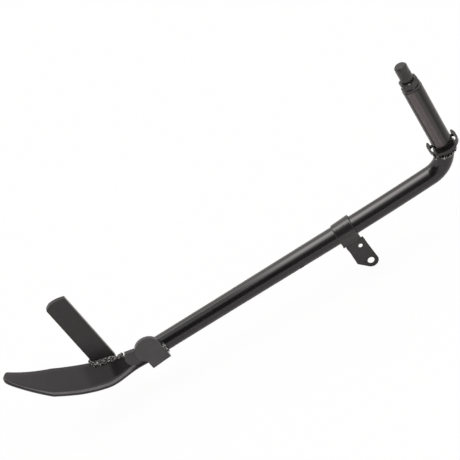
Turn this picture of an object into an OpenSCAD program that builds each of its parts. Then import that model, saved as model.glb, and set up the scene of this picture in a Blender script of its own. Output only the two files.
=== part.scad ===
// Side stand (kickstand) for a motorcycle: a bent leg on a pivot barrel, with a
// curved foot and a lever for the rider's boot.
// The pivot axis is Z and the stud points up. The origin is the centre of the
// barrel's lower end. The leg runs towards -X. Sizes are in millimetres.

/* [Pivot barrel] */
// Outside diameter of the barrel, which the motorcycle's bracket holds
barrel_d = 17.5; // [16.5:0.1:20]
// Length of the barrel
barrel_len = 60.2; // [45:0.1:80]
// Outside diameter of the bushes, which is the barrel's bore
bush_d = 14; // [13.4:0.1:14.6]
// Length of each bush
bush_len = 15; // [8:0.5:20]
// Inset of each bush from the barrel's end
bush_inset = 1; // [0.5:0.5:3]

/* [Spindle] */
// Diameter of the spindle's running part
spindle_d = 12; // [11.6:0.1:12.4]
// Diameter of the threaded stud
stud_d = 11; // [9:0.1:11.2]
// Length of stud that stands above the nut
stud_len = 15.2; // [8:0.1:25]
// Height of the spindle's head, under the spring plate
head_h = 5.5; // [4:0.1:7]
// Diameter of the spigot that seats the spindle in the bar
spigot_d = 8; // [6:0.1:9]
// Depth of that seat
spigot_len = 5; // [3:0.1:6]

/* [Nut and washers] */
// Nut size across its flats
nut_af = 15; // [14:0.1:16]
// Height of the nut
nut_h = 8; // [6:0.1:10]
// Height of the chamfer at each end of the nut
nut_chamfer = 0.9; // [0.4:0.1:2]
// Height of the round collar at the nut's foot
nut_collar = 1.8; // [1:0.1:3]
// Thickness of the washer under the nut
top_washer_t = 0.9; // [0.8:0.1:2]
// Thickness of the thrust washer under the barrel
thrust_washer_t = 2.3; // [1.5:0.1:3]
// Depth of the stud's thread
thread_depth = 0.6; // [0.3:0.05:0.8]
// How much smaller than the barrel the nut and washers are, in radius
pass_gap = 0.35; // [0.3:0.05:0.5]

/* [Spring plate] */
// Radius of the plate's round front
plate_r = 13.4; // [12.6:0.1:16]
// Thickness of the plate
plate_t = 2.6; // [2:0.1:4]
// How far the two horns reach behind the pivot axis
horn_reach = 11.5; // [10:0.1:13]
// Radius of the notch between the horns
notch_r = 9.9; // [9.5:0.1:10.4]
// Distance from the pivot axis to the middle of each spring slot
slot_r = 10.3; // [10:0.1:10.8]
// Width of each spring slot
slot_w = 2.4; // [1.6:0.1:2.8]
// Angle that each spring slot covers
slot_sweep = 40; // [20:1:50]

/* [Bar] */
// Diameter of the bent bar
bar_d = 16.4; // [15.8:0.1:16.8]
// Radius of the elbow on the bar's centre line
bend_r = 24; // [20:0.5:30]
// Height at which the elbow would become vertical
bend_top = -1.1; // [-3:0.1:1]
// Slope of the bar as it leaves the elbow, in degrees
elbow_slope = 4.8; // [3:0.1:8]
// Length of the slightly curved stretch after the elbow
sweep_len = 86; // [60:1:120]
// Length of the bar's spigot inside the tube
bar_spigot_len = 54; // [50:1:80]

/* [Leg tube] */
// Slope of the tube, in degrees
leg_slope = 2.8; // [0:0.1:4.5]
// Length of the tube
tube_len = 191; // [170:1:210]
// Outside diameter at the clip
tube_d = 16.9; // [16.5:0.1:18]
// Outside diameter at the foot
tube_end_d = 16; // [15.5:0.1:16.8]
// Length over which the tube tapers
taper_len = 130; // [60:1:160]
// Wall thickness of the tube at its thin end
tube_wall = 2.5; // [2:0.1:3]
// Diameter of the plug-weld hole
plug_d = 4; // [3:0.1:5]
// Distance from the joint to the plug-weld hole
plug_at = 46; // [30:1:46]

/* [Clip] */
// Width of the clip's strap
clip_w = 17; // [14:0.1:20]
// Thickness of the clip's sheet
clip_t = 1; // [0.8:0.1:1.6]
// Angle below the front at which the strap leaves the tube
clip_leave = 18; // [10:1:25]
// Length of the flat stretch between the tube and the fold
clip_flat = 9.5; // [8:0.1:12]
// Length of the tab below the fold
tab_len = 32.3; // [28:0.1:36]
// Width of the tab
tab_w = 16.4; // [15:0.1:18]
// Diameter of the large hole in the tab
tab_hole_d = 5.9; // [4:0.1:6.5]
// Diameter of the small hole in the tab
pilot_hole_d = 3.6; // [2:0.1:4]

/* [Stop plate and tongue] */
// Side of the square part of the stop plate
stop_w = 18.4; // [16:0.1:20]
// Radius of the stop plate's disc
disc_r = 11.8; // [10:0.1:12.5]
// Thickness of the stop plate
stop_t = 3.4; // [2.5:0.1:4]
// Turn of the stop plate from the tube, in degrees
stop_turn = 4.2; // [0:0.1:8]
// Distance back from the tube's end to the middle of the square
stop_back = 0; // [-2:0.5:4]
// Height of the disc's centre above the tube's axis
disc_rise = 9.2; // [8:0.1:10]
// Reach of the tongue beyond the tube's end
tongue_reach = 24.6; // [20:0.1:28]
// Radius of the tongue's rounded corner
tongue_r = 8; // [6:0.1:9]
// Height of the tongue's top above the tube's axis
tongue_top = 15.6; // [14:0.1:18]
// Thickness of the tongue
tongue_t = 4; // [2.5:0.1:5]

/* [Foot] */
// Thickness of the foot
foot_t = 3; // [2:0.1:3.4]
// Roll of the foot about the tube, in degrees, with the lever's side up
foot_roll = 16.7; // [8:0.1:20]
// Depth of the foot's upper face below the tube's axis
foot_drop = 2.5; // [2:0.1:3]
// Length of neck that sits in the slotted tube
foot_seat = 9; // [5:0.5:10]
// Half width of the neck
neck_half = 6.9; // [6:0.1:7.6]
// Radius of the upward curve, on the upper face
foot_r = 137; // [115:1:180]
// Distance from the tube's end to the start of the curve
foot_curve_at = 3; // [1:0.5:8]
// Reach of the foot beyond the tube's end, along the tube, to the tip
foot_reach = 115.4; // [110:0.2:121]
// Width of the foot from the tube's axis to the near side
foot_near = 13.5; // [12:0.1:15]
// Width of the foot from the tube's axis to the lever's side
foot_far = 21.8; // [20:0.1:24]
// Distance from the tip back to the start of the slanted edge, along the sheet
foot_slant = 39.4; // [30:1:50]
// Radius of the tip's two corners
foot_tip_r = 4; // [2:0.5:5]

/* [Kick lever] */
// Width of the lever
lever_w = 19.3; // [16:0.1:22]
// Thickness of the lever
lever_t = 4; // [3:0.1:5]
// Height of the lever's crowned end above the tube's axis
lever_len = 84.6; // [60:0.1:100]
// Lean of the lever from the tube's square, in degrees
lever_lean = 2.4; // [0:0.1:8]
// Distance from the tube's end to the lever's middle
lever_at = 42.2; // [40:0.1:46]
// Distance from the tube's axis to the lever's near face
lever_side = 12.5; // [10:0.1:13.5]
// Radius of the lever's crowned end
lever_crown = 24; // [18:1:60]
// Radius of the weld bead round the lever's foot
lever_bead = 2.2; // [1.5:0.1:2.6]

/* [Hidden] */
$fn = 96;
running_gap = 0.05;   // radial clearance of the spindle in its bushes
seat_gap = 0.05;      // radial clearance of parts that are seated and welded
face_gap = 0.05;      // axial clearance at each end of the barrel
far = 200;            // larger than any part that it cuts

// Heights on the pivot axis
washer_top = -face_gap;
plate_top = washer_top - thrust_washer_t;
head_top = plate_top - plate_t;
seat = head_top - head_h;
top_washer_bottom = barrel_len + face_gap;
nut_bottom = top_washer_bottom + top_washer_t;
nut_top = nut_bottom + nut_h;
stud_top = nut_top + stud_len;
shoulder = nut_bottom - top_washer_t / 2;
pass_d = barrel_d - 2 * pass_gap;
core_d = stud_d - 2 * thread_depth;
foot_end = tube_len + foot_reach;

// The bar's centre line: the elbow, then a long slight curve that ends at the joint
bend_turn = 90 - elbow_slope;
sweep_turn = elbow_slope - leg_slope;
sweep_r = sweep_len / (sweep_turn * PI / 180);
bend_x = -bend_r;
sweep_x = bend_x + (bend_r - sweep_r) * cos(bend_turn);
sweep_z = bend_top - (bend_r - sweep_r) * sin(bend_turn);
joint_x = sweep_x + sweep_r * cos(bend_turn + sweep_turn);
joint_z = sweep_z - sweep_r * sin(bend_turn + sweep_turn);

// Radii on the tube
tube_bore = tube_end_d - 2 * tube_wall;
end_r = tube_end_d / 2;
clip_r = tube_d / 2;
clip_y = -(clip_r + clip_t) * cos(clip_leave) + clip_flat * sin(clip_leave);
clip_z = -(clip_r + clip_t) * sin(clip_leave) - clip_flat * cos(clip_leave);
stop_at = tube_len - stop_back;
curve_at = tube_len + foot_curve_at;
lever_s = tube_len + lever_at;

// Puts its children on the tube: x points up, z runs along the tube to the foot
module on_leg(along = 0) {
    translate([joint_x, 0, joint_z])
        rotate([0, -90 - leg_slope, 0])
            translate([0, 0, along]) children();
}

// Turns a side view, drawn as (along the tube, up), into a slab from y0 to y1
module side_slab(y0, y1, roll = 0) {
    on_leg() rotate([0, 0, -roll]) translate([0, y1, 0]) rotate([90, 0, 0])
        linear_extrude(height = y1 - y0) rotate(90) mirror([0, 1]) children();
}

// Extrudes a plan, drawn as (along the tube, y), upwards through the rolled foot
module plan_slab() {
    on_leg() rotate([0, 0, -foot_roll]) translate([-far / 2, 0, 0]) rotate([0, 90, 0])
        linear_extrude(height = far) mirror([1, 0]) children();
}

// A round bead with a circular path
module ring_bead(path_r, bead_r) {
    rotate_extrude() translate([path_r, 0]) circle(r = bead_r, $fn = 32);
}

// An arc of round bar in the XZ plane, from angle a0 to a1 below the X direction
module bar_arc(r, d, a0, a1) {
    rotate([90, 0, 0]) rotate(-a1) rotate_extrude(angle = a1 - a0)
        translate([r, 0]) circle(d = d);
}

module washer(bottom, t, inner, outer) {
    translate([0, 0, bottom]) difference() {
        cylinder(h = t, d = outer);
        translate([0, 0, -t]) cylinder(h = 3 * t, d = inner);
    }
}

module bush(bottom) {
    washer(bottom, bush_len, spindle_d + 2 * running_gap, bush_d);
}

module pivot_barrel() {
    color("#2b2b2d") washer(0, barrel_len, bush_d, barrel_d);
}

module lower_bush() {
    color("#a8894f") bush(bush_inset);
}

module upper_bush() {
    color("#a8894f") bush(barrel_len - bush_inset - bush_len);
}

module thrust_washer() {
    color("#101011") washer(plate_top, thrust_washer_t, spindle_d + 2 * seat_gap, pass_d);
}

module top_washer() {
    color("#39393b") difference() {
        washer(top_washer_bottom, top_washer_t, stud_d + 2 * seat_gap, pass_d);
        cylinder(h = shoulder, d = spindle_d + 2 * seat_gap);
    }
}

// The nut's corners are turned down so that it passes where the barrel passes
module pivot_nut() {
    chamfer_r = pass_d / 2 - nut_chamfer * 1.4;
    color("#343436") difference() {
        union() {
            intersection() {
                translate([0, 0, nut_bottom]) rotate(36)
                    cylinder(h = nut_h, d = nut_af / cos(30), $fn = 6);
                translate([0, 0, nut_bottom]) rotate_extrude() polygon([
                    [0, 0], [pass_d / 2, 0], [pass_d / 2, nut_h - nut_chamfer],
                    [chamfer_r, nut_h], [0, nut_h]]);
            }
            translate([0, 0, nut_bottom]) cylinder(h = nut_collar, d = pass_d);
        }
        cylinder(h = far, d = core_d + 2 * seat_gap);
    }
}

// The stud is thinned to its thread's core inside the nut
module pivot_spindle() {
    tip = 1.2;
    color("#333335") union() {
        translate([0, 0, seat]) cylinder(h = head_h, d = pass_d);
        translate([0, 0, seat]) cylinder(h = shoulder - seat, d = spindle_d);
        translate([0, 0, seat]) cylinder(h = nut_top - seat, d = core_d);
        translate([0, 0, nut_top]) cylinder(h = stud_len - tip, d = stud_d);
        translate([0, 0, stud_top - tip]) cylinder(h = tip, d1 = stud_d, d2 = stud_d - 2 * tip);
        translate([0, 0, seat - spigot_len]) cylinder(h = spigot_len + 1, d = spigot_d);
    }
}

module spring_slot(side) {
    start = side > 0 ? -slot_sweep / 2 : 180 - slot_sweep / 2;
    rotate(start) rotate_extrude(angle = slot_sweep)
        translate([slot_r - slot_w / 2, -far / 2]) square([slot_w, far]);
    for (end = [start, start + slot_sweep])
        rotate(end) translate([slot_r, 0, -far / 2]) cylinder(h = far, d = slot_w, $fn = 24);
}

// A round-fronted plate with two straight horns that reach back past the pivot
module spring_plate_outline() {
    taper_y = horn_reach - 5;
    bridge = slot_r * sin(slot_sweep / 2) + slot_w / 2 + 1;
    tip_x = plate_r - 0.42 * (plate_r - notch_r);
    difference() {
        circle(r = plate_r);
        translate([-far / 2, bridge - 1]) square(far);
    }
    polygon([
        [plate_r, 0], [plate_r, taper_y], [tip_x, horn_reach],
        [notch_r + 0.5, horn_reach - 0.8], [notch_r, bridge],
        [-notch_r, bridge], [-notch_r - 0.5, horn_reach - 0.8],
        [-tip_x, horn_reach], [-plate_r, taper_y], [-plate_r, 0]]);
    circle(d = pass_d);
}

module spring_plate() {
    color("#303032") translate([0, 0, head_top]) difference() {
        linear_extrude(height = plate_t) spring_plate_outline();
        cylinder(h = far, d = spindle_d + 2 * seat_gap, center = true);
        spring_slot(1);
        spring_slot(-1);
    }
}

module plate_weld() {
    bead = 1.5;
    color("#3b3b3d") difference() {
        translate([0, 0, head_top]) ring_bead(pass_d / 2 + seat_gap, bead);
        translate([0, 0, head_top]) cylinder(h = far, r = far);
        translate([0, 0, -far / 2]) cylinder(h = far, d = pass_d);
    }
}

module bar_solid() {
    translate([bend_x, 0, bend_top]) bar_arc(bend_r, bar_d, 0, bend_turn);
    translate([sweep_x, 0, sweep_z])
        bar_arc(sweep_r, bar_d, bend_turn, bend_turn + sweep_turn);
}

module elbow_bar() {
    color("#2e2e30") difference() {
        union() {
            bar_solid();
            on_leg(-1) cylinder(h = bar_spigot_len + 1, d = tube_bore - 2 * seat_gap);
        }
        translate([-far / 2, -far / 2, seat]) cube(far);
        translate([0, 0, seat - spigot_len]) cylinder(h = far, d = spigot_d);
    }
}

// The bead where the spindle's head meets the bar's end
module elbow_weld() {
    bead = 1.6;
    color("#3d3d40") difference() {
        translate([-1, 0, seat]) ring_bead(pass_d / 2 + 0.4, bead);
        translate([0, 0, seat - 0.01]) cylinder(h = far, d = pass_d);
        bar_solid();
    }
}

module plug_hole(depth_from, depth_to) {
    on_leg(plug_at) rotate([0, 0, -123]) rotate([0, 90, 0])
        translate([0, 0, depth_from]) cylinder(h = depth_to - depth_from, d = plug_d);
}

module tube_solid() {
    on_leg() cylinder(h = taper_len, d1 = tube_d, d2 = tube_end_d);
    on_leg(taper_len - 0.01) cylinder(h = tube_len - taper_len + 0.01, d = tube_end_d);
}

module leg_tube() {
    slot = foot_t + 2 * seat_gap;
    color("#2c2c2e") difference() {
        tube_solid();
        on_leg(-1) cylinder(h = tube_len + 2, d = tube_bore);
        on_leg(tube_len - foot_seat) rotate([0, 0, -foot_roll])
            translate([-foot_drop - foot_t - seat_gap, -far / 2, 0]) cube([slot, far, far]);
        plug_hole(0, far / 4);
    }
}

module plug_weld() {
    color("#3a3a3c") difference() {
        plug_hole(0, end_r - 0.6);
        on_leg(-1) cylinder(h = tube_len, d = tube_bore);
    }
}

// The clip's side view across the tube: a ring, a flat stretch and the fold
module clip_section() {
    difference() {
        circle(r = clip_r + clip_t);
        circle(r = clip_r);
    }
    rotate(clip_leave) translate([-clip_r - clip_t, -clip_flat]) square([clip_t, clip_flat]);
}

// The tab's outline, with the fold along its top edge and the foot's side at -x
module tab_outline() {
    half = tab_w / 2;
    end_round = 6.2;
    cx = half - end_round;
    cy = end_round - tab_len;
    spread = 1.5;
    cut_y = cy + 5;
    dx = cx + half + spread;
    dy = cut_y - cy;
    reach = sqrt(dx * dx + dy * dy);
    steep = atan2(dy, dx) + asin(end_round / reach);
    run = sqrt(reach * reach - end_round * end_round);
    touch = [run * cos(steep) - half - spread, cut_y - run * sin(steep)];
    difference() {
        union() {
            polygon([[-half, 0], [-half - spread, cut_y], touch, [cx, cy], [half, cy], [half, 0]]);
            translate([cx, cy]) circle(r = end_round);
        }
        translate([cx - 0.3, cy + 0.7]) circle(d = tab_hole_d);
        translate([cx + 0.1, -6.8]) circle(d = pilot_hole_d);
    }
}

module clip() {
    tab_turn = 2.6;
    color("#313133") union() {
        on_leg(-clip_w / 2 - 0.4) rotate(-90) linear_extrude(height = clip_w) mirror([1, 0]) clip_section();
        on_leg() translate([clip_z + clip_t * 0.4, clip_y, -2.2])
            rotate([0, -tab_turn, 0]) rotate([-90, 0, 0]) rotate(-90) mirror([1, 0, 0])
                linear_extrude(height = clip_t) tab_outline();
    }
}

module clip_weld() {
    color("#3a3a3c") difference() {
        on_leg(-5) translate([-clip_r - clip_t, clip_y + clip_t + 1.5, 0])
            cylinder(h = 10, d = 3.2, $fn = 32);
        clip();
        on_leg(-far / 2) cylinder(h = far, r = clip_r + 0.01);
    }
}

module stop_plate() {
    color("#343437") side_slab(-end_r - stop_t, -end_r) {
        translate([stop_at, 0]) rotate(-stop_turn) square(stop_w, center = true);
        translate([stop_at + 2.2, disc_rise]) circle(r = disc_r);
    }
}

module stop_weld() {
    bead = 2.4;
    edge = stop_w / 2;
    color("#3d3d40") difference() {
        on_leg(stop_at - edge) translate([0, -end_r, 0]) rotate([0, 90, 0])
            cylinder(h = 11, r = bead, center = true, $fn = 32);
        tube_solid();
        stop_plate();
    }
}

// The tongue's top edge slopes down towards the tube
module tongue() {
    corner = tube_len + tongue_reach - tongue_r;
    start = tube_len + seat_gap;
    top_end = [corner + tongue_r - 3.2, tongue_top];
    top_start = [start, tongue_top - 5.5];
    color("#323234") side_slab(-end_r, -end_r + tongue_t) difference() {
        union() {
            polygon([[start, 0], [corner, 0], [corner + tongue_r, tongue_r], top_end, top_start]);
            translate([corner, tongue_r]) circle(r = tongue_r);
        }
        polygon([top_start, top_end, top_end + [9, 2.3], top_end + [9, far], [start - 9, far],
                 top_start - [9, 2.3]]);
    }
}

// The foot seen from the side: neck and upward curve, down to a depth
module foot_profile(depth) {
    neck_start = tube_len - foot_seat;
    translate([neck_start, -foot_drop - depth]) square([curve_at - neck_start + 0.01, depth]);
    translate([curve_at, foot_r - foot_drop]) difference() {
        intersection() {
            circle(r = foot_r + depth, $fn = 360);
            translate([0, -2 * foot_r]) square([2 * foot_r, 2 * foot_r]);
        }
        circle(r = foot_r, $fn = 360);
    }
}

// The space above the foot's upper face is left; all that lies below it is filled
module foot_below() {
    neck_start = tube_len - foot_seat;
    side_slab(-far / 4, far / 4, foot_roll) {
        translate([neck_start, -foot_drop - far]) square([curve_at - neck_start + 0.01, far]);
        difference() {
            translate([curve_at, -foot_drop - far]) square([foot_r * 0.95, far + foot_r * 0.7]);
            translate([curve_at, foot_r - foot_drop]) circle(r = foot_r, $fn = 360);
            translate([curve_at, foot_r - foot_drop]) square(2 * foot_r);
        }
    }
}

function ease(t) = t * t * (3 - 2 * t);

// The foot seen from above, with its tip still uncut: a neck that widens on both sides
module foot_plan() {
    start = tube_len - foot_seat;
    flare = tube_len + 17;
    far_edge = tube_len + 41;
    waist = neck_half + 0.6 * (foot_far - neck_half);
    steps = 10;
    near_side = [for (i = [0 : steps])
        [flare + 31 * i / steps, -neck_half - (foot_near - neck_half) * ease(i / steps)]];
    far_side = [for (i = [steps : -1 : 0])
        [far_edge - 29 + 29 * i / steps, neck_half + (waist - neck_half) * ease(i / steps)]];
    polygon(concat(
        [[start, -neck_half]], near_side,
        [[flare + 40, 0.4 - foot_near], [flare + 52, 1.6 - foot_near],
         [foot_end - 28, 4.8 - foot_near], [foot_end + 12, 4.8 - foot_near],
         [foot_end + 12, foot_far - 2.4], [foot_end - 15, foot_far - 1],
         [foot_end - 32, foot_far], [far_edge + 29, foot_far - 1.7]],
        far_side, [[start, neck_half]]));
}

// What is cut away around the foot's tip, seen square to the sheet
module tip_waste(len) {
    r = foot_tip_r;
    half = len / 2;
    near = 4.8 - foot_near;
    slope = 23;
    cx = half - r;
    cy = near + (cx + half) * tan(slope) + r / cos(slope);
    steps = 6;
    round_end = [for (i = [0 : steps])
        let(turn = (slope - 90) * (1 - i / steps)) [cx + r * cos(turn), cy + r * sin(turn)]];
    polygon(concat(
        [[-half - 30, near - 30 * tan(slope)]], round_end,
        [[half + 0.2, foot_far - 7.6], [half - 1.6, foot_far - 4.4], [half - 4, foot_far - 2],
         [half - 12, foot_far + 8], [half + 30, foot_far + 8], [half + 30, near - 30],
         [-half - 30, near - 30]]));
}

module foot() {
    tip_angle = asin((foot_end - curve_at) / foot_r);
    middle = tip_angle - foot_slant / foot_r * 90 / PI;
    color("#2f2f31") difference() {
        intersection() {
            side_slab(-far / 4, far / 4, foot_roll) foot_profile(foot_t);
            plan_slab() foot_plan();
        }
        on_leg(curve_at) rotate([0, 0, -foot_roll]) translate([foot_r - foot_drop, 0, 0])
            rotate([0, middle, 0]) translate([-foot_r - 20, 0, 0]) rotate([0, 90, 0])
                linear_extrude(height = 36) mirror([1, 0]) tip_waste(foot_slant);
    }
}

// Bead between the tube's end, the tongue and the foot's neck
module foot_weld() {
    bead = 2.2;
    color("#3d3d40") difference() {
        on_leg(tube_len) rotate([0, 0, -foot_roll]) translate([-foot_drop, 1, 0])
            rotate([90, 0, 0]) cylinder(h = 2 * neck_half - 3, r = bead, center = true, $fn = 32);
        tube_solid();
        foot_below();
        tongue();
    }
}

module tongue_weld() {
    bead = 1.9;
    color("#3d3d40") difference() {
        on_leg(tube_len + 4) translate([0.2, -end_r + tongue_t, 0])
            cylinder(h = tongue_reach - tongue_r, r = bead, $fn = 32);
        foot_below();
        tongue();
    }
}

// The lever's blank reaches below the foot's face and is then cut to fit it
module lever_blank() {
    root = 12;
    half = lever_w / 2;
    crown_x = 1.5;
    translate([lever_s, 0]) rotate(-lever_lean) difference() {
        intersection() {
            translate([-half, -root]) square([lever_w, root + lever_len]);
            union() {
                translate([crown_x, lever_len - lever_crown]) circle(r = lever_crown);
                translate([-lever_w, -root])
                    square([2 * lever_w, root + lever_len - lever_crown]);
            }
        }
        polygon([[half - 4.8, lever_len - 0.2], [half - 1.6, lever_len - 2],
                 [half + 0.4, lever_len - 3.8], [half + 9, lever_len - 4], [half, lever_len + 5]]);
    }
}

module kick_lever() {
    color("#302f2f") difference() {
        side_slab(lever_side, lever_side + lever_t) lever_blank();
        foot_below();
    }
}

// The angle on the foot's curve at a distance from the tube's end
function foot_angle(s) = asin((s - foot_curve_at) / foot_r);

// A weld bead round the near side and both ends of the lever's foot
module lever_weld() {
    from = foot_angle(lever_at - lever_w / 2 - lever_bead);
    to = foot_angle(lever_at + lever_w / 2 + lever_bead);
    rise = foot_r * (1 - cos(foot_angle(lever_at))) - foot_drop;
    near = (lever_side + rise * sin(foot_roll)) / cos(foot_roll);
    color("#424245") difference() {
        on_leg(curve_at) rotate([0, 0, -foot_roll]) translate([foot_r - foot_drop, 0, 0])
            rotate([-90, 0, 0]) rotate(180 + from) rotate_extrude(angle = to - from)
                polygon([[foot_r, near - lever_bead - 0.6], [foot_r, near + lever_t],
                         [foot_r - lever_bead, near + lever_t - 0.6],
                         [foot_r - lever_bead, near - 0.8]]);
        side_slab(lever_side, lever_side + lever_t) lever_blank();
    }
}

pivot_barrel();
lower_bush();
upper_bush();
thrust_washer();
top_washer();
pivot_nut();
pivot_spindle();
spring_plate();
plate_weld();
elbow_bar();
elbow_weld();
leg_tube();
plug_weld();
clip();
clip_weld();
stop_plate();
stop_weld();
tongue();
tongue_weld();
foot();
foot_weld();
kick_lever();
lever_weld();
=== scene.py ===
import math
import random

import bmesh
import bpy
from mathutils import Matrix, Vector


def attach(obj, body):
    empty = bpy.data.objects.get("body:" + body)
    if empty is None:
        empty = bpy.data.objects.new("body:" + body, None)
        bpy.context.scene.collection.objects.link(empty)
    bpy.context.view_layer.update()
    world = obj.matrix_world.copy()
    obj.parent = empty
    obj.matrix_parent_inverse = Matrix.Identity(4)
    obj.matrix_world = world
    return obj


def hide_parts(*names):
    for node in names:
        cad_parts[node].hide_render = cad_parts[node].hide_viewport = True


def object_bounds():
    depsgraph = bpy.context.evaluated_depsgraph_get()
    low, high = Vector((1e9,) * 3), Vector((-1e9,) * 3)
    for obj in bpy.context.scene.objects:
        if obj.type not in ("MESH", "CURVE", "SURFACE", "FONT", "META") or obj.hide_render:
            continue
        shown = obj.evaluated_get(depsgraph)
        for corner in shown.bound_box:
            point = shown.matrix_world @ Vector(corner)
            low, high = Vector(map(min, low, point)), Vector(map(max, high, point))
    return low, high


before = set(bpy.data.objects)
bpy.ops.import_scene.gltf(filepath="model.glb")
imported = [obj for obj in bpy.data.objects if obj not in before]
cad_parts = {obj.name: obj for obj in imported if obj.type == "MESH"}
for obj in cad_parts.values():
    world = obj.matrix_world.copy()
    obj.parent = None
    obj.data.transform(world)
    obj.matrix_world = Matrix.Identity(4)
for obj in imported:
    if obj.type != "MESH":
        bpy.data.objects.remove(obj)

cad_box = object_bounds()
random.seed(7)
scene = bpy.context.scene
MM = 0.001

# ---------------------------------------------------------------- materials


def new_material(name):
    """A material with its principled shader; returns (material, node tree, shader)."""
    mat = bpy.data.materials.new(name)
    mat.use_nodes = True
    tree = mat.node_tree
    return mat, tree, tree.nodes["Principled BSDF"]


def noise(tree, coords, scale, detail=4.0, rough=0.55):
    node = tree.nodes.new("ShaderNodeTexNoise")
    node.inputs["Scale"].default_value = scale
    node.inputs["Detail"].default_value = detail
    node.inputs["Roughness"].default_value = rough
    tree.links.new(coords, node.inputs["Vector"])
    return node.outputs["Fac"]


def ramp(tree, fac, stops):
    """A colour ramp; stops are (position, colour or grey)."""
    node = tree.nodes.new("ShaderNodeValToRGB")
    band = node.color_ramp
    while len(band.elements) < len(stops):
        band.elements.new(0.5)
    for element, (place, value) in zip(band.elements, stops):
        element.position = place
        if isinstance(value, float):
            value = (value, value, value)
        element.color = (*value, 1.0)
    tree.links.new(fac, node.inputs["Fac"])
    return node.outputs["Color"]


def bump(tree, height, strength, distance, normal=None):
    node = tree.nodes.new("ShaderNodeBump")
    node.inputs["Strength"].default_value = strength
    node.inputs["Distance"].default_value = distance
    tree.links.new(height, node.inputs["Height"])
    if normal is not None:
        tree.links.new(normal, node.inputs["Normal"])
    return node.outputs["Normal"]


def black_enamel(name, dark, light, gloss, peel, peel_scale=420.0, flow=0.0):
    """Black enamel: colour drift, orange peel, fine dust and a little unevenness of gloss."""
    mat, tree, shader = new_material(name)
    coords = tree.nodes.new("ShaderNodeTexCoord").outputs["Object"]
    drift = noise(tree, coords, 38.0, 3.0)
    tree.links.new(ramp(tree, drift, [(0.3, dark), (0.7, light)]), shader.inputs["Base Color"])
    haze = noise(tree, coords, 160.0, 5.0)
    low, high = gloss
    tree.links.new(ramp(tree, haze, [(0.35, low), (0.7, high)]), shader.inputs["Roughness"])
    normal = bump(tree, noise(tree, coords, peel_scale, 2.0), peel, 0.0004)
    if flow:
        normal = bump(tree, noise(tree, coords, 90.0, 1.0), flow, 0.0008, normal)
    tree.links.new(normal, shader.inputs["Normal"])
    shader.inputs["IOR"].default_value = 1.5
    return mat


def weld_enamel_painted_glints():
    """Black enamel over a rough bead, with pale flecks held in the colour as painted glints."""
    mat, tree, shader = new_material("weld_enamel_painted_glints")
    coords = tree.nodes.new("ShaderNodeTexCoord").outputs["Object"]
    # Pale flecks: painted glints standing in for the bead's sparkle
    glint_noise = noise(tree, coords, 1050.0, 2.0, 0.7)
    black, painted_glint = (0.006, 0.006, 0.006), (0.85, 0.83, 0.81)
    tone = ramp(tree, glint_noise, [(0.0, black), (0.55, (0.010, 0.010, 0.010)), (0.62, painted_glint)])
    tree.links.new(tone, shader.inputs["Base Color"])
    haze = noise(tree, coords, 260.0, 4.0)
    tree.links.new(ramp(tree, haze, [(0.35, 0.05), (0.7, 0.2)]), shader.inputs["Roughness"])
    normal = bump(tree, noise(tree, coords, 900.0, 3.0), 0.8, 0.0004)
    normal = bump(tree, noise(tree, coords, 330.0, 1.0), 0.6, 0.0006, normal)
    tree.links.new(normal, shader.inputs["Normal"])
    shader.inputs["IOR"].default_value = 1.36
    return mat


GLOSS = black_enamel(
    "gloss_black_enamel",
    (0.007, 0.007, 0.0072), (0.011, 0.0108, 0.0105), (0.07, 0.12), 0.05,
)
SATIN = black_enamel(
    "satin_black_enamel",
    (0.007, 0.0062, 0.006), (0.013, 0.0118, 0.0114), (0.32, 0.42), 0.16,
)
PLATE = black_enamel(
    "plate_enamel",
    (0.027, 0.0262, 0.0272), (0.037, 0.036, 0.0372), (0.15, 0.19), 0.05,
)
# Lighter than the other black enamels: painted sheen for the stop plate's brighter reflection
DISC_PAINTED_SHEEN = black_enamel(
    "disc_enamel_painted_sheen",
    (0.040, 0.038, 0.0395), (0.056, 0.0535, 0.0555), (0.15, 0.19), 0.05,
)
CLIP = black_enamel(
    "clip_enamel",
    (0.016, 0.0155, 0.0155), (0.023, 0.022, 0.0218), (0.07, 0.13), 0.05,
)
# Paler enamel for the foot's near edge: a painted highlight where the rolled edge catches the light
PAINTED_EDGE_HIGHLIGHT = black_enamel(
    "painted_highlight_edge_enamel",
    (0.082, 0.080, 0.082), (0.122, 0.120, 0.122), (0.10, 0.16), 0.08,
)
WELD = weld_enamel_painted_glints()
NUT = black_enamel(
    "nut_enamel",
    (0.011, 0.011, 0.011), (0.022, 0.021, 0.020), (0.07, 0.14), 0.10,
)
STUD = black_enamel(
    "stud_enamel",
    (0.018, 0.018, 0.018), (0.060, 0.057, 0.055), (0.12, 0.34), 0.35, 700.0, 0.2,
)
RUBBER = black_enamel(
    "washer_black",
    (0.006, 0.006, 0.006), (0.012, 0.012, 0.012), (0.35, 0.5), 0.2,
)


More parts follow.
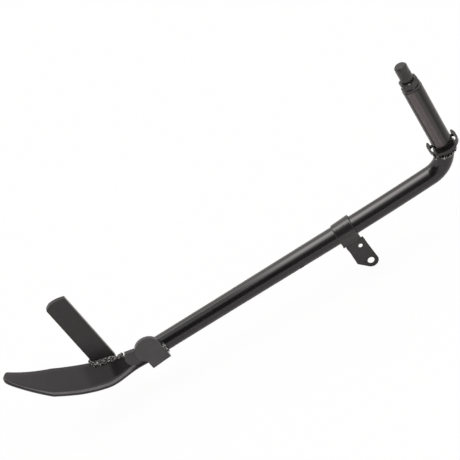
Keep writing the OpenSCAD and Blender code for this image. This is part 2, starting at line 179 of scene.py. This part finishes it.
def barrel_painted_reflection_enamel():
    """Black enamel with painted reflections and painted shade: the barrel's light and dark bands
    held in the colour, not in the light.
    """
    mat, tree, shader = new_material("barrel_painted_reflection_enamel")
    coords = tree.nodes.new("ShaderNodeTexCoord").outputs["Object"]
    parts = tree.nodes.new("ShaderNodeSeparateXYZ")
    tree.links.new(coords, parts.inputs[0])
    front = tree.nodes.new("ShaderNodeMath")
    front.operation = "MULTIPLY"
    tree.links.new(parts.outputs["Y"], front.inputs[0])
    front.inputs[1].default_value = -1.0
    turn = tree.nodes.new("ShaderNodeMath")
    turn.operation = "ARCTAN2"
    tree.links.new(parts.outputs["X"], turn.inputs[0])
    tree.links.new(front.outputs[0], turn.inputs[1])
    place = tree.nodes.new("ShaderNodeMapRange")
    place.inputs["From Min"].default_value = -math.pi
    place.inputs["From Max"].default_value = math.pi
    tree.links.new(turn.outputs[0], place.inputs["Value"])
    stretch = tree.nodes.new("ShaderNodeMapping")
    stretch.inputs["Scale"].default_value = (1.0, 1.0, 0.04)
    tree.links.new(coords, stretch.inputs["Vector"])
    # Long streaks, stretched along the axis, break up the painted reflection bands
    streaks = noise(tree, stretch.outputs[0], 620.0, 3.0)
    band = ramp(tree, place.outputs["Result"], BARREL_PAINTED_REFLECTION_BANDS)
    fine = ramp(tree, streaks, [(0.3, 0.82), (0.7, 1.12)])
    mix = tree.nodes.new("ShaderNodeMix")
    mix.data_type = "RGBA"
    mix.blend_type = "MULTIPLY"
    mix.inputs["Factor"].default_value = 1.0
    tree.links.new(band, mix.inputs[6])
    tree.links.new(fine, mix.inputs[7])
    tree.links.new(mix.outputs[2], shader.inputs["Base Color"])
    haze = noise(tree, coords, 160.0, 5.0)
    tree.links.new(ramp(tree, haze, [(0.35, 0.06), (0.7, 0.11)]), shader.inputs["Roughness"])
    normal = bump(tree, noise(tree, coords, 420.0, 2.0), 0.04, 0.0004)
    tree.links.new(normal, shader.inputs["Normal"])
    shader.inputs["IOR"].default_value = 1.4
    return mat


# Colour of the barrel round its axis, with painted reflections (the bright warm bands) and painted
# shade (the near-black stripes); 0.5 is the front
BARREL_PAINTED_REFLECTION_BANDS = [
    (0.0, (0.012, 0.011, 0.011)), (0.33, (0.003, 0.003, 0.003)), (0.36, (0.003, 0.003, 0.003)),
    (0.372, (0.114, 0.101, 0.098)), (0.44, (0.104, 0.091, 0.088)), (0.447, (0.066, 0.059, 0.057)),
    (0.457, (0.116, 0.101, 0.098)), (0.493, (0.072, 0.065, 0.064)), (0.52, (0.050, 0.046, 0.045)),
    (0.54, (0.042, 0.038, 0.037)), (0.555, (0.016, 0.015, 0.015)), (0.562, (0.002, 0.002, 0.002)),
    (0.578, (0.002, 0.002, 0.002)), (0.6, (0.014, 0.013, 0.0125)), (0.65, (0.020, 0.019, 0.018)),
    (1.0, (0.012, 0.011, 0.011)),
]


def bronze():
    """Plain bearing bronze."""
    mat, tree, shader = new_material("bush_bronze")
    coords = tree.nodes.new("ShaderNodeTexCoord").outputs["Object"]
    drift = noise(tree, coords, 300.0, 6.0)
    tone = ramp(tree, drift, [(0.3, (0.30, 0.19, 0.08)), (0.7, (0.48, 0.33, 0.16))])
    tree.links.new(tone, shader.inputs["Base Color"])
    tree.links.new(ramp(tree, drift, [(0.3, 0.3), (0.7, 0.5)]), shader.inputs["Roughness"])
    tree.links.new(bump(tree, noise(tree, coords, 900.0), 0.2, 0.0002), shader.inputs["Normal"])
    shader.inputs["Metallic"].default_value = 1.0
    return mat


BRONZE = bronze()
BARREL = barrel_painted_reflection_enamel()
FINISH = {
    "pivot_barrel": BARREL, "lower_bush": BRONZE, "upper_bush": BRONZE, "thrust_washer": RUBBER,
    "top_washer": NUT, "pivot_nut": NUT, "pivot_spindle": NUT, "spring_plate": GLOSS,
    "elbow_bar": GLOSS, "leg_tube": GLOSS, "clip": GLOSS, "stop_plate": DISC_PAINTED_SHEEN, "tongue": PLATE,
    "foot": GLOSS, "kick_lever": SATIN,
}


def finish_node(obj, name):
    """Gives a CAD node its material and softens its sharp edges."""
    mat = FINISH.get(name, WELD)
    for slot in obj.material_slots:
        slot.material = mat
    edge = obj.modifiers.new("soft_edge", "BEVEL")
    edge.width = 0.35 * MM
    edge.segments = 3
    edge.limit_method = "ANGLE"
    edge.angle_limit = math.radians(40)
    edge.use_clamp_overlap = True
    edge.harden_normals = False


for node_name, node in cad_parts.items():
    finish_node(node, node_name)
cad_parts["kick_lever"].visible_glossy = False

# ---------------------------------------------------------------- frames of the leg and the foot

LEG_SLOPE = 2.8
JOINT = Vector((-107.798, 0.0, -30.715))
FOOT_ROLL = 16.7
LEG = Matrix.Translation(JOINT) @ Matrix.Rotation(math.radians(-90 - LEG_SLOPE), 4, "Y")
FOOT = LEG @ Matrix.Rotation(math.radians(-FOOT_ROLL), 4, "Z")
TUBE_LEN = 191.0
CURVE_AT = 194.0
CURVE_R = 137.0
FOOT_DROP = 2.5
FOOT_T = 3.0
FOOT_REACH = 115.4
FOOT_SLANT = 39.4


def lerp_table(table, x):
    """Smooth reading of a table of (x, value) points."""
    if x <= table[0][0]:
        return table[0][1]
    for (x0, v0), (x1, v1) in zip(table, table[1:]):
        if x <= x1:
            return v0 + (v1 - v0) * (x - x0) / (x1 - x0)
    return table[-1][1]


def mesh_piece(name, verts, faces, mat, body, replaced=(), smooth_angle=40.0):
    """Makes a piece from points in millimetres and gives it to a body."""
    mesh = bpy.data.meshes.new(name)
    mesh.from_pydata([v * MM for v in verts], [], faces)
    mesh.validate()
    builder = bmesh.new()
    builder.from_mesh(mesh)
    bmesh.ops.recalc_face_normals(builder, faces=builder.faces[:])
    builder.to_mesh(mesh)
    builder.free()
    mesh.shade_smooth()
    mesh.set_sharp_from_angle(angle=math.radians(smooth_angle))
    mesh.materials.append(mat)
    obj = bpy.data.objects.new(name, mesh)
    scene.collection.objects.link(obj)
    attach(obj, body)
    if replaced:
        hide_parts(*replaced)
    return obj


def loft(rings, closed_ends=True):
    """Faces between rings of equal length; each ring is a closed loop."""
    verts = [v for ring in rings for v in ring]
    count = len(rings[0])
    faces = []
    for i in range(len(rings) - 1):
        for j in range(count):
            k = (j + 1) % count
            faces.append((i * count + j, i * count + k, (i + 1) * count + k, (i + 1) * count + j))
    if closed_ends:
        faces.append(tuple(range(count)))
        last = (len(rings) - 1) * count
        faces.append(tuple(last + j for j in reversed(range(count))))
    return verts, faces


# ---------------------------------------------------------------- foot

TIP_PHI = math.asin((TUBE_LEN + FOOT_REACH - CURVE_AT) / CURVE_R)
SLANT_HALF = FOOT_SLANT / 2
SLANT_PHI = TIP_PHI - math.asin(SLANT_HALF / CURVE_R)


def ease(t):
    return t * t * (3 - 2 * t)


NEAR_PLAN = [(208 + 31 * i / 12, -6.9 - 6.6 * ease(i / 12)) for i in range(13)]
NEAR_PLAN += [(248, -13.1), (260, -11.9), (278.4, -8.7)]
FAR_PLAN = [(203 + 29 * i / 12, 6.9 + 8.94 * ease(i / 12)) for i in range(13)]
FAR_PLAN += [(261, 20.1), (274.4, 21.8), (291.4, 20.8), (318.4, 19.4)]
TIP_NEAR = [(-SLANT_HALF, -8.7), (14.0, 5.6), (16.6, 6.9), (18.4, 8.2), (19.3, 9.4), (19.7, 10.9)]
TIP_FAR = [(14.2, 20.6), (15.7, 19.8), (17.2, 18.6), (18.1, 17.4), (19.2, 15.4), (19.7, 14.0)]


def foot_edges(phi):
    """The foot's two edges across, at an angle on its curve."""
    z = CURVE_AT + CURVE_R * math.sin(phi)
    near = lerp_table(NEAR_PLAN, z)
    far = lerp_table(FAR_PLAN, z)
    t = CURVE_R * math.sin(phi - SLANT_PHI)
    if t > -SLANT_HALF:
        near = max(near, lerp_table(TIP_NEAR, t))
    if t > TIP_FAR[0][0]:
        far = min(far, lerp_table(TIP_FAR, t))
    return near, far


def foot_point(along, across, depth):
    """A point of the foot: along its curve, across it, and below its upper face."""
    if along < 0:
        return FOOT @ Vector((-FOOT_DROP - depth, across, CURVE_AT + along))
    phi = along / CURVE_R
    r = CURVE_R + depth
    up = CURVE_R - FOOT_DROP - r * math.cos(phi)
    return FOOT @ Vector((up, across, CURVE_AT + r * math.sin(phi)))


def foot_section(near, far, along):
    """A closed loop across the sheet, its rims rolled; the first span is the lighter near edge, a
    painted highlight.
    """
    mid = (near + far) / 2
    half = (far - near) / 2
    rim = min(5.5, half * 0.6)
    soft = 0.85
    loop = []

    def rolled(y):
        edge = half - abs(y - mid)
        if edge >= rim:
            return 0.0
        return FOOT_RIM * min(1.0, half / 12) * (1 - edge / rim) ** 2

    top = [mid + half * k / 12 for k in range(-12, 13)]
    shrink = (half - soft) / half
    painted_highlight_end = near + soft + min(lerp_table(PAINTED_HIGHLIGHT_WIDTH, along), half * 0.5)
    width = far - soft - painted_highlight_end
    steps = len(top) - 2
    spans = [near + soft] + [painted_highlight_end + width * k / steps for k in range(steps + 1)]
    for inner in spans:
        loop.append((inner, rolled(inner)))
    for k in range(1, 5):
        a = math.pi / 2 * k / 5
        depth = rolled(far - soft) + soft * (1 - math.cos(a))
        loop.append((far - soft + soft * math.sin(a), depth))
    low = FOOT_T
    loop.append((far, rolled(far - soft) + soft))
    loop.append((far, low - 0.7))
    loop.append((far - 0.25, low - 0.2))
    for y in reversed(top):
        loop.append((mid + (y - mid) * (half - 0.8) / half, low))
    loop.append((near + 0.25, low - 0.2))
    loop.append((near, low - 0.7))
    loop.append((near, rolled(near + soft) + soft))
    for k in range(4, 0, -1):
        a = math.pi / 2 * k / 5
        depth = rolled(near + soft) + soft * (1 - math.cos(a))
        loop.append((near + soft - soft * math.sin(a), depth))
    return [foot_point(along, y, depth) for y, depth in loop]


# How far the foot's rims roll down, and the width along the foot's curve of the near edge's painted
# highlight
FOOT_RIM = 0.7
PAINTED_HIGHLIGHT_WIDTH = [
    (-12, 0.2), (4, 0.5), (10, 2.6), (16, 3.8), (28, 2.6), (60, 2.3), (95, 1.8), (118, 0.8),
]


def make_foot():
    """The foot's curved sheet, from its neck in the tube to its slanted tip."""
    length = CURVE_R * TIP_PHI
    stops = [-12.0 + 1.5 * k for k in range(int((length - 8 + 12) / 1.5))]
    tail = stops[-1]
    steps = 22
    rest = length - 0.25 - tail
    stops += [tail + rest * math.sin(math.pi / 2 * k / steps) for k in range(1, steps + 1)]
    rings = []
    for along in stops:
        near, far = foot_edges(max(along, 0.0) / CURVE_R) if along >= 0 else (-6.9, 6.9)
        rings.append(foot_section(near, far, along))
    verts, faces = loft(rings)
    sheet = mesh_piece("foot_sheet", verts, faces, GLOSS, "leg", ["foot"], 50.0)
    # The first span of every ring takes the painted highlight enamel along the near edge
    sheet.data.materials.append(PAINTED_EDGE_HIGHLIGHT)
    for i in range(len(rings) - 1):
        sheet.data.polygons[i * len(rings[0])].material_index = 1
    return sheet


make_foot()

# ---------------------------------------------------------------- weld runs


def weld_run(name, points, radius, node, pitch=1.5, seed=1, squash=1.0):
    """A laid bead along points in millimetres, with overlapping ripples and lumps."""
    rng = random.Random(seed)
    dense = []
    for a, b in zip(points, points[1:]):
        n = max(2, int((b - a).length / 0.3))
        dense += [a.lerp(b, k / n) for k in range(n)]
    dense.append(points[-1])
    for _ in range(6):
        dense = [dense[0]] + [
            (dense[i - 1] + dense[i] * 2 + dense[i + 1]) / 4 for i in range(1, len(dense) - 1)
        ] + [dense[-1]]
    lengths = [0.0]
    for a, b in zip(dense, dense[1:]):
        lengths.append(lengths[-1] + (b - a).length)
    total = lengths[-1]
    lumps = [rng.uniform(0.72, 1.3) for _ in range(int(total / 2.2) + 3)]
    sides = 20
    rings = []
    for i, centre in enumerate(dense):
        ahead = dense[min(i + 1, len(dense) - 1)] - dense[max(i - 1, 0)]
        ahead.normalize()
        side = ahead.cross(Vector((0.13, -0.2, 1.0))).normalized()
        up = side.cross(ahead).normalized()
        s = lengths[i]
        k = s / 2.2
        lump = lumps[int(k)] * (1 - k % 1) + lumps[int(k) + 1] * (k % 1)
        end = min(1.0, max(0.06, min(s, total - s) / (radius * 0.9)))
        taper = math.sqrt(max(0.0, 1 - (1 - end) ** 2))
        ring = []
        for j in range(sides):
            turn = 2 * math.pi * j / sides
            ripple = (s / pitch + 0.35 * math.cos(turn)) % 1
            wave = 1 + 0.3 * (math.sqrt(1 - ripple) - 0.6) + 0.1 * math.sin(turn * 3 + k * 5)
            r = radius * lump * taper * wave * (1 + rng.uniform(-0.06, 0.06))
            ring.append(centre + side * (r * math.cos(turn)) + up * (r * squash * math.sin(turn)))
        rings.append(ring)
    verts, faces = loft(rings)
    return mesh_piece(name, verts, faces, WELD, "leg", [node] if node else [], 180.0)


def leg_point(up, across, along):
    return LEG @ Vector((up, across, along))


def on_sheet(y, z):
    """The point of the foot's upper face at a place across and along the tube."""
    height = CURVE_R - FOOT_DROP - math.sqrt(CURVE_R ** 2 - (z - CURVE_AT) ** 2)
    roll = math.radians(FOOT_ROLL)
    across = (y + height * math.sin(roll)) / math.cos(roll)
    return FOOT @ Vector((height, across, z))


def lever_welds():
    near, far = 12.5, 16.5
    z0, z1 = 223.8, 243.2
    left = [on_sheet(far + 0.6, z1 + 0.7), on_sheet(14.0, z1 + 1.3), on_sheet(near - 1.2, z1 + 0.9)]
    left = [p + Vector((0, 0, 0.5)) for p in left]
    weld_run("lever_weld_tip_end", left, 2.1, "lever_weld", 1.3, 3)
    side = [on_sheet(near - 1.5, z1 + 1.2 - (z1 - z0 + 1.0) * k / 8) for k in range(9)]
    weld_run("lever_weld_front", side, 2.2, "lever_weld", 1.5, 5)
    upper = [on_sheet(near - 0.2, z1 - 1.0 - (z1 - z0 - 3.0) * k / 8) for k in range(9)]
    upper = [p + Vector((0, 0, 1.1)) for p in upper]
    weld_run("lever_weld_upper", upper, 1.35, "lever_weld", 1.1, 9)
    right = [on_sheet(near - 2.2, z0 - 0.6), on_sheet(near - 0.4, z0 - 3.6)]
    right = [p + Vector((0, 0, -0.6)) for p in right + [on_sheet(far - 2.6, z0 - 5.8)]]
    weld_run("lever_weld_tube_end", right, 2.0, "lever_weld", 1.3, 8, 0.8)


def stop_welds():
    edge = [leg_point(6.4, -8.2, 181.4), leg_point(3.0, -9.6, 181.0), leg_point(-1.0, -9.9, 181.2)]
    edge += [leg_point(-5.0, -8.8, 181.4)]
    weld_run("stop_weld_bead", edge, 1.6, "stop_weld", 1.3, 21)


stop_welds()
lever_welds()


def elbow_welds():
    ring = []
    for k in range(49):
        turn = 2 * math.pi * k / 48
        ring.append(Vector((-0.6 + 8.75 * math.cos(turn), 8.75 * math.sin(turn), -11.0)))
    weld_run("elbow_weld_ring", ring, 1.05, "elbow_weld", 1.2, 11)
    inner = [Vector((-9.6, 4.0, -11.8)), Vector((-10.6, 0.0, -12.2)), Vector((-10.2, -4.4, -12.6))]
    weld_run("elbow_weld_corner", inner, 1.9, "elbow_weld", 1.4, 12)


elbow_welds()

# ---------------------------------------------------------------- clip


def copy_solid(name, node_name, voxel, change, rounds=3):
    """A finely meshed, softened copy of a CAD node, its points then moved by change(point)."""
    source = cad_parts[node_name]
    draft = bpy.data.objects.new("draft", source.data.copy())
    scene.collection.objects.link(draft)
    draft.matrix_world = source.matrix_world
    remesh = draft.modifiers.new("remesh", "REMESH")
    remesh.mode = "VOXEL"
    remesh.voxel_size = voxel * MM
    bpy.context.view_layer.update()
    ready = draft.evaluated_get(bpy.context.evaluated_depsgraph_get())
    mesh = bpy.data.meshes.new_from_object(ready)
    mesh.transform(draft.matrix_world)
    builder = bmesh.new()
    builder.from_mesh(mesh)
    for _ in range(rounds):
        bmesh.ops.smooth_vert(
            builder, verts=builder.verts, factor=0.5,
            use_axis_x=True, use_axis_y=True, use_axis_z=True,
        )
    back = LEG.inverted()
    for vert in builder.verts:
        local = back @ (vert.co / MM)
        vert.co = (LEG @ change(local)) * MM
    verts = [v.co / MM for v in builder.verts]
    builder.verts.index_update()
    faces = [tuple(v.index for v in f.verts) for f in builder.faces]
    builder.free()
    bpy.data.objects.remove(draft)
    return verts, faces


def clip_change(p):
    """Bulges the strap at its pivot side and spreads it into the tab."""
    up, across, along = p
    r = math.hypot(up, across)
    around = max(0.0, min(1.0, (up + 6.5) / 7.0))
    lift = 0.85 * max(0.0, min(1.0, (8.0 - along) / 16.0)) * around
    scale = 1 + lift / max(r, 1.0)
    up, across = up * scale, across * scale
    if up < -8.0:
        spread = math.exp(-(((up + 14.0) / 3.2) ** 2))
        if along > 4.0:
            along += 1.0 * spread * min(1.0, (along - 4.0) / 3.0)
        if along < -6.0:
            along -= 0.25 * spread * min(1.0, (-6.0 - along) / 2.0)
    across += 0.3 * math.exp(-(((up + 11.9) / 0.35) ** 2)) * (1.0 if across < -2.0 else 0.0)
    return Vector((up, across, along))


def make_clip():
    verts, faces = copy_solid("clip_strap", "clip", 0.34, clip_change)
    mesh_piece("clip_strap", verts, faces, CLIP, "leg", ["clip"], 180.0)


make_clip()

# ---------------------------------------------------------------- threaded stud


def stud_thread():
    """A rolled thread over the stud, with a dished, rounded tip."""
    bottom, top = 69.2, 84.35
    crest, core, pitch = 5.62, 5.12, 1.25
    sides = 72
    rows = int((top - bottom) / 0.125)
    rings = []
    for i in range(rows + 1):
        z = bottom + (top - bottom) * i / rows
        fade = min(1.0, (z - bottom) / 2.5, max(0.0, (top - 1.1 - z) / 0.8))
        ring = []
        for j in range(sides):
            turn = 2 * math.pi * j / sides
            wave = abs(((z / pitch + j / sides) % 1) * 2 - 1)
            wear = 0.05 * math.sin(turn * 3 + z * 0.7) + 0.03 * math.sin(turn * 7 - z * 1.9)
            r = core + (crest - core) * max(0.0, fade) * min(1.0, wave * 1.25) + wear * fade
            if z > top - 1.3:
                k = (z - top + 1.3) / 1.3
                r = core - 1.25 * (1 - math.sqrt(max(0.0, 1 - k * k)))
            ring.append(Vector((r * math.cos(turn), r * math.sin(turn), z)))
        rings.append(ring)
    turns = [2 * math.pi * j / sides for j in range(sides)]
    for r, drop in ((3.3, 0.05), (2.9, 0.2), (2.0, 0.5), (1.0, 0.62), (0.15, 0.65)):
        rings.append([Vector((r * math.cos(a), r * math.sin(a), top - drop)) for a in turns])
    verts, faces = loft(rings)
    return mesh_piece("stud_thread", verts, faces, STUD, "leg", [], 55.0)


stud_thread()

# ---------------------------------------------------------------- camera

RIGHT = Vector((0.8666417, -0.2100925, -0.4525409))
UP = Vector((0.4912580, 0.5177773, 0.7004086))
BACK = Vector((0.0871648, -0.8293177, 0.5519370))
EYE = Vector((-0.0220787, -1.5865648, 1.0824754))

camera_data = bpy.data.cameras.new("camera")
camera_data.lens = 180.0
camera_data.sensor_width = 36.0
camera_data.clip_start = 0.05
camera_data.clip_end = 30.0
camera = bpy.data.objects.new("camera", camera_data)
scene.collection.objects.link(camera)
camera.matrix_world = Matrix(
    (
        (RIGHT.x, UP.x, BACK.x, EYE.x),
        (RIGHT.y, UP.y, BACK.y, EYE.y),
        (RIGHT.z, UP.z, BACK.z, EYE.z),
        (0.0, 0.0, 0.0, 1.0),
    )
)
scene.camera = camera

# ---------------------------------------------------------------- studio


def maths(tree, kind, first, second=0.0):
    """A maths node; its inputs are sockets or numbers."""
    node = tree.nodes.new("ShaderNodeMath")
    node.operation = kind
    for socket, value in zip(node.inputs, (first, second)):
        if isinstance(value, float):
            socket.default_value = value
        else:
            tree.links.new(value, socket)
    return node.outputs[0]


FLOOR_WHITE = 0.94  # how much of the floor the camera sees as plain white


def floor():
    """A plain pale floor that keeps the object's shadow."""
    low, high = cad_box
    mid = (low + high) / 2
    mesh = bpy.data.meshes.new("floor")
    half = 4.0
    z = low.z - 0.001
    signs = ((-1, -1), (1, -1), (1, 1), (-1, 1))
    corners = [(mid.x + sx * half, mid.y + sy * half, z) for sx, sy in signs]
    mesh.from_pydata(corners, [], [(0, 1, 2, 3)])
    obj = bpy.data.objects.new("floor", mesh)
    scene.collection.objects.link(obj)
    mat, tree, shader = new_material("floor_white")
    shader.inputs["Base Color"].default_value = (0.85, 0.85, 0.85, 1.0)
    shader.inputs["Roughness"].default_value = 0.9
    shader.inputs["Specular IOR Level"].default_value = 0.0
    white = tree.nodes.new("ShaderNodeEmission")
    path = tree.nodes.new("ShaderNodeLightPath")
    share = tree.nodes.new("ShaderNodeMath")
    share.operation = "MULTIPLY"
    tree.links.new(path.outputs["Is Camera Ray"], share.inputs[0])
    share.inputs[1].default_value = FLOOR_WHITE
    mix = tree.nodes.new("ShaderNodeMixShader")
    tree.links.new(share.outputs[0], mix.inputs[0])
    tree.links.new(shader.outputs[0], mix.inputs[1])
    tree.links.new(white.outputs[0], mix.inputs[2])
    tree.links.new(mix.outputs[0], tree.nodes["Material Output"].inputs["Surface"])
    mesh.materials.append(mat)
    return obj


floor()


def card(name, low, high, z, strength, fade):
    """A pale card over the leg, met only by reflections; its pivot end fades out."""
    mesh = bpy.data.meshes.new(name)
    (x0, y0), (x1, y1) = low, high
    corners = [(x0, y0, z), (x1, y0, z), (x1, y1, z), (x0, y1, z)]
    mesh.from_pydata(corners, [], [(0, 1, 2, 3)])
    obj = bpy.data.objects.new(name, mesh)
    scene.collection.objects.link(obj)
    mat = bpy.data.materials.new(name)
    mat.use_nodes = True
    tree = mat.node_tree
    parts = tree.nodes.new("ShaderNodeSeparateXYZ")
    tree.links.new(tree.nodes.new("ShaderNodeTexCoord").outputs["Object"], parts.inputs[0])
    share = tree.nodes.new("ShaderNodeMapRange")
    share.interpolation_type = "SMOOTHSTEP"
    share.inputs["From Min"].default_value = high[0] - fade
    share.inputs["From Max"].default_value = high[0]
    tree.links.new(parts.outputs["X"], share.inputs["Value"])
    glow = tree.nodes.new("ShaderNodeEmission")
    glow.inputs["Strength"].default_value = strength
    clear = tree.nodes.new("ShaderNodeBsdfTransparent")
    mix = tree.nodes.new("ShaderNodeMixShader")
    tree.links.new(share.outputs["Result"], mix.inputs[0])
    tree.links.new(glow.outputs[0], mix.inputs[1])
    tree.links.new(clear.outputs[0], mix.inputs[2])
    tree.links.new(mix.outputs[0], tree.nodes["Material Output"].inputs["Surface"])
    mesh.materials.append(mat)
    obj.visible_camera = False
    obj.visible_diffuse = False
    obj.visible_shadow = False
    obj.visible_transmission = False


card("leg_card", (-0.46, -0.07), (-0.15, 0.042), 0.1, 1.15, 0.11)


def studio_world():
    """An overhead softbox that fades into a dark room towards the camera; a pale wall behind."""
    sky = bpy.data.worlds.new("studio")
    scene.world = sky
    sky.use_nodes = True
    tree = sky.node_tree
    shade = tree.nodes["Background"]
    way = tree.nodes.new("ShaderNodeTexCoord").outputs["Generated"]

    def along(axis):
        node = tree.nodes.new("ShaderNodeVectorMath")
        node.operation = "DOT_PRODUCT"
        tree.links.new(way, node.inputs[0])
        node.inputs[1].default_value = axis
        return node.outputs["Value"]

    turn = maths(tree, "ARCTAN2", along((0.0, 0.0, 1.0)), along(TOWARDS))
    turn = maths(tree, "DIVIDE", turn, math.pi)
    across_view = along(SIDEWAYS)
    sideways = maths(tree, "ABSOLUTE", maths(tree, "ADD", across_view, BOX_SHIFT), 0.0)
    window = ramp(tree, sideways, BOX_WINDOW)
    room = maths(tree, "MULTIPLY", ramp(tree, turn, ROOM), BOX_POWER)
    above_wall = maths(tree, "MULTIPLY", maths(tree, "SUBTRACT", room, 1.0), window)
    strength = maths(tree, "ADD", above_wall, 1.0)
    side = maths(tree, "ADD", maths(tree, "MULTIPLY", across_view, 0.5), 0.5)
    for across, around in (FLAG_RIGHT, FLAG_LEFT):
        flag = maths(tree, "MULTIPLY", ramp(tree, side, across), ramp(tree, turn, around))
        strength = maths(tree, "MULTIPLY", strength, maths(tree, "SUBTRACT", 1.0, flag))
    strength = maths(tree, "MAXIMUM", strength, maths(tree, "LESS_THAN", turn, 0.0))
    path = tree.nodes.new("ShaderNodeLightPath")
    unseen = maths(tree, "SUBTRACT", 1.0, path.outputs["Is Camera Ray"])
    strength = maths(tree, "MULTIPLY", strength, unseen)
    strength = maths(tree, "ADD", strength, path.outputs["Is Camera Ray"])
    tint = tree.nodes.new("ShaderNodeMix")
    tint.data_type = "RGBA"
    tree.links.new(path.outputs["Is Camera Ray"], tint.inputs["Factor"])
    tint.inputs[6].default_value = WARM_WHITE
    tint.inputs[7].default_value = (1.0, 1.0, 1.0, 1.0)
    tree.links.new(tint.outputs[2], shade.inputs["Color"])
    tree.links.new(strength, shade.inputs["Strength"])


# Level directions across the view and towards the camera
SIDEWAYS = (0.994, 0.104, 0.0)
TOWARDS = (0.104, -0.994, 0.0)
WARM_WHITE = (1.05, 0.985, 0.99, 1.0)
# Two dark patches: stops across the view, then stops from the camera's horizon over the top
BOX_POWER = 6.6
FLAG_RIGHT = (
    [(0.49, 0.0), (0.505, 0.93), (0.61, 0.93), (0.635, 0.36), (0.715, 0.32), (0.745, 0.0)],
    [(0.3, 0.0), (0.36, 1.0), (0.66, 1.0), (0.7, 0.0)],
)
FLAG_LEFT = (
    [(0.12, 0.0), (0.15, 0.9), (0.375, 0.9), (0.4, 0.0)],
    [(0.08, 0.0), (0.13, 1.0), (0.54, 1.0), (0.6, 0.0)],
)
BOX_SHIFT = 0.12
BOX_WINDOW = [(0.0, 1.0), (0.2, 1.0), (0.4, 0.0)]
ROOM = [
    (0.0, 0.02), (0.2, 0.03), (0.3, 0.12), (0.4, 0.6),
    (0.47, 1.0), (0.57, 1.0), (0.66, 0.35), (0.78, 0.17),
]
studio_world()
scene.view_settings.view_transform = "Standard"
